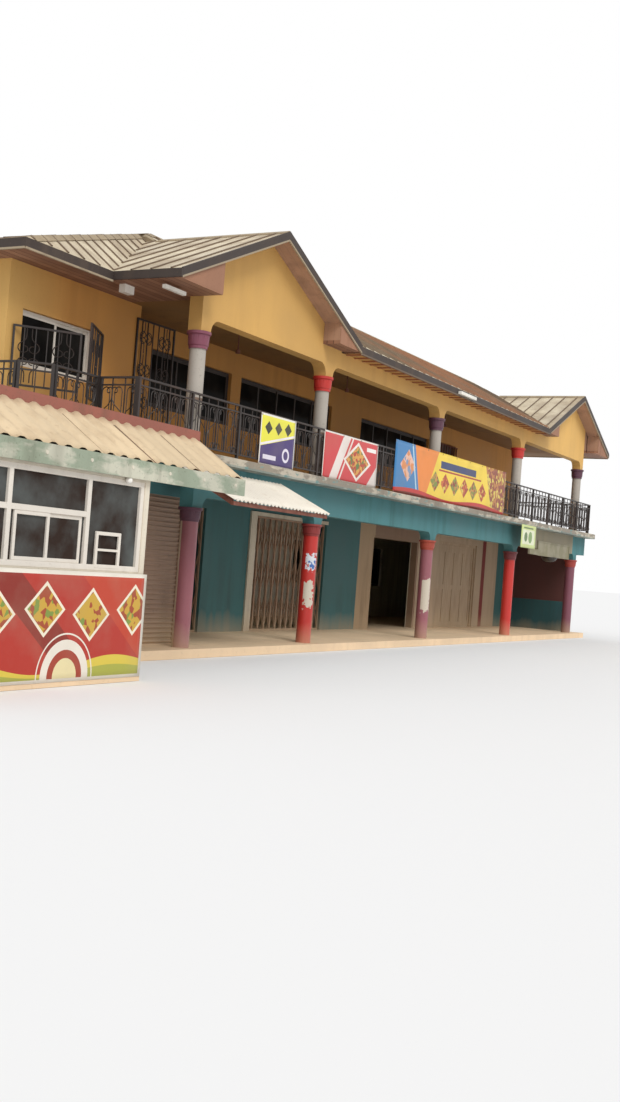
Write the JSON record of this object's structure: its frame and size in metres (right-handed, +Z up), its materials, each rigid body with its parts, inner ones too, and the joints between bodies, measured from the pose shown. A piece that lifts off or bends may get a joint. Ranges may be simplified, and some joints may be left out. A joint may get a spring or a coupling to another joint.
{
  "type": "corner shop building",
  "caption": "Two-storey corner shop building with a columned porch, an open upper veranda with iron balustrade, gabled metal roof, shop gates, and a food kiosk under a lean-to canopy.",
  "frame": {"origin": "on the ground, at the middle of the walled plan", "axes": "+X along the front to the viewer's right, +Y from the front to the rear, +Z up"},
  "size_m": [31.635, 8.625, 7.822],
  "materials": {
    "floor_cement": "worn cement screed",
    "slab_cement": "stained cement edge",
    "teal_render": "painted cement render",
    "yellow_render": "painted cement render",
    "shutter_steel": "dull paint",
    "gate_steel": "dull paint",
    "shop_door_wood": "faded cream paint",
    "window_glass": "dark glass",
    "column_red": "gloss paint on render",
    "column_grey": "dusty paint on render",
    "capital_paint": "gloss paint on render",
    "soffit_boards": "varnished boards",
    "roof_sheet": "weathered coating",
    "fascia_metal": "dark coating",
    "black_iron": "black paint",
    "door_wood": "dark varnish",
    "awning_metal": "weathered coating",
    "red_timber": "red paint",
    "banner_vinyl": "printed vinyl",
    "white_plastic": "matt",
    "cream_render": "painted cement render",
    "white_frame": "white coating, with dark glass behind",
    "deck_boards": "bare boards",
    "canopy_metal": "weathered coating",
    "painted_boards": "weathered paint"
  },
  "bodies": {
    "root": {"floor_slab": "floor_cement", "ground_end_walls": "teal_render", "ground_back_wall": "teal_render", "shop_wall": "teal_render", "shutter_walls": "teal_render", "roller_shutter": "shutter_steel", "folding_gates": "gate_steel", "shop_doors": "shop_door_wood", "rear_windows": "window_glass", "lower_columns": "column_red", "lower_capitals": "column_red", "lower_beam": "teal_render", "balcony_slab": "slab_cement", "upper_end_walls": "yellow_render", "upper_back_wall": "yellow_render", "veranda_wall": "yellow_render", "left_room_walls": "yellow_render", "upper_columns": "column_grey", "upper_capitals": "capital_paint", "upper_beam": "yellow_render", "gable_walls": "yellow_render", "soffits": "soffit_boards", "main_roof": "roof_sheet", "gable_roofs": "roof_sheet", "fascias": "fascia_metal", "ridge_caps": "roof_sheet", "front_balustrade": "black_iron", "side_balustrades": "black_iron", "upper_windows": "window_glass", "veranda_doors": "door_wood", "window_grille": "black_iron", "upper_gate": "black_iron", "awning_sheet": "awning_metal", "awning_frame": "red_timber", "yellow_banner": "banner_vinyl", "red_banner": "banner_vinyl", "wide_banner": "banner_vinyl", "green_poster": "banner_vinyl", "light_fittings": "white_plastic", "kiosk_walls": "cream_render", "kiosk_windows": "white_frame", "kiosk_roof_deck": "deck_boards", "kiosk_canopy": "canopy_metal", "canopy_boards": "painted_boards", "kiosk_banner": "banner_vinyl"}
  },
  "joints": []
}
